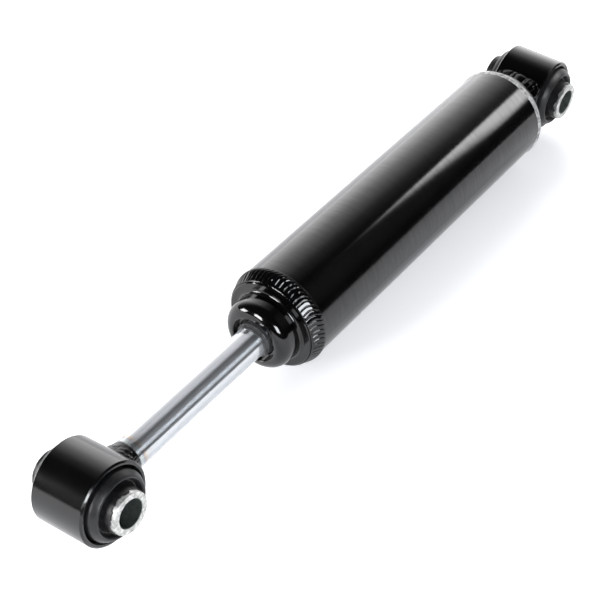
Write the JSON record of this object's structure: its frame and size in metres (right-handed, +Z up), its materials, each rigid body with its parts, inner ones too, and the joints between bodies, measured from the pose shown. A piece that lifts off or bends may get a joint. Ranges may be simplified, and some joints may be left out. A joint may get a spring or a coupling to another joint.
{
  "type": "ski shock absorber",
  "caption": "Telescopic hydraulic shock absorber for a vehicle's ski: gloss black barrel, chromed rod that slides and turns, and a rubber-bushed bolt eye at each end.",
  "frame": {"origin": "middle of the bolt hole in the barrel's eye", "axes": "+X along the shock from the barrel's eye to the rod's eye, +Y along the bolt of the barrel's eye, +Z up with the shock lying level"},
  "size_m": [0.366, 0.0478, 0.0478],
  "materials": {
    "barrel_paint": "gloss black paint",
    "cap_paint": "gloss black paint",
    "weld_paint": "gloss black paint over a rippled bead",
    "eye_paint": "gloss black paint",
    "rod_chrome": "hard chrome, ground and polished",
    "sleeve_steel": "turned and zinc plated",
    "bush_rubber": "satin black moulded rubber",
    "wiper_rubber": "dark grey moulded rubber",
    "seal_rubber": "black nitrile rubber",
    "bumper_rubber": "black rubber",
    "sintered_iron": "sintered, sized and steam treated",
    "tube_steel": "drawn steel",
    "turned_steel": "turned steel",
    "spring_steel": "hardened strip",
    "bronze_bush": "bronze-backed bearing strip",
    "band_plastic": "bronze-filled sliding band",
    "zinc_nut": "zinc plated"
  },
  "bodies": {
    "barrel": {"barrel_tube": "barrel_paint", "front_weld_bead": "weld_paint", "front_cap": "cap_paint", "base_cap": "barrel_paint", "rear_weld_bead": "weld_paint", "barrel_eye_ring": "eye_paint", "barrel_eye_weld": "weld_paint", "barrel_bush_rubber": "bush_rubber", "rod_wiper": "wiper_rubber", "rod_oil_seal": "seal_rubber", "seal_washer": "turned_steel", "rod_guide": "sintered_iron", "guide_bush": "bronze_bush", "guide_o_ring": "seal_rubber", "pressure_tube": "tube_steel", "foot_valve_body": "sintered_iron", "foot_valve_pin": "turned_steel", "foot_stop": "turned_steel", "compression_shims": "spring_steel", "foot_check_spring": "spring_steel"},
    "barrel_sleeve": {"barrel_bush_sleeve": "sleeve_steel"},
    "foot_valve_plate": {"foot_check_plate": "spring_steel"},
    "piston_band": {"piston_ring": "band_plastic"},
    "rod": {"piston_rod": "rod_chrome", "rod_eye_ring": "eye_paint", "rod_eye_weld": "weld_paint", "rod_bush_rubber": "bush_rubber", "rebound_collar": "turned_steel", "rebound_bumper": "bumper_rubber", "piston_stop_washer": "turned_steel", "piston_spacer": "turned_steel", "piston_check_spring": "spring_steel", "piston_body": "sintered_iron", "rebound_shims": "spring_steel", "piston_nut": "zinc_nut"},
    "rod_sleeve": {"rod_bush_sleeve": "sleeve_steel"},
    "piston_valve_plate": {"piston_check_plate": "spring_steel"}
  },
  "joints": [
    {"name": "rod_slide", "type": "slide", "parent": "barrel", "child": "piston_band", "axis": [1, 0, 0], "range_m": [-0.074, 0]},
    {"name": "rod_turn", "type": "hinge", "parent": "piston_band", "child": "rod", "pos_m": [0.15, 0, 0], "axis": [1, 0, 0], "continuous": true},
    {"name": "rod_bush_twist", "type": "hinge", "parent": "rod", "child": "rod_sleeve", "pos_m": [0.33, 0, 0], "axis": [0, 0.9914, 0.1305], "range_deg": [-15, 15], "stiffness_Nm_per_rad": 12},
    {"name": "barrel_bush_twist", "type": "hinge", "parent": "barrel", "child": "barrel_sleeve", "pos_m": [0, 0, 0], "axis": [0, 1, 0], "range_deg": [-15, 15], "stiffness_Nm_per_rad": 12},
    {"name": "piston_valve_lift", "type": "slide", "parent": "rod", "child": "piston_valve_plate", "axis": [1, 0, 0], "range_m": [0, 0.001], "stiffness_N_per_m": 200, "springref_m": -0.002, "deforming": ["piston_check_spring"]},
    {"name": "foot_valve_lift", "type": "slide", "parent": "barrel", "child": "foot_valve_plate", "axis": [1, 0, 0], "range_m": [0, 0.001], "stiffness_N_per_m": 200, "springref_m": -0.002, "deforming": ["foot_check_spring"]}
  ]
}
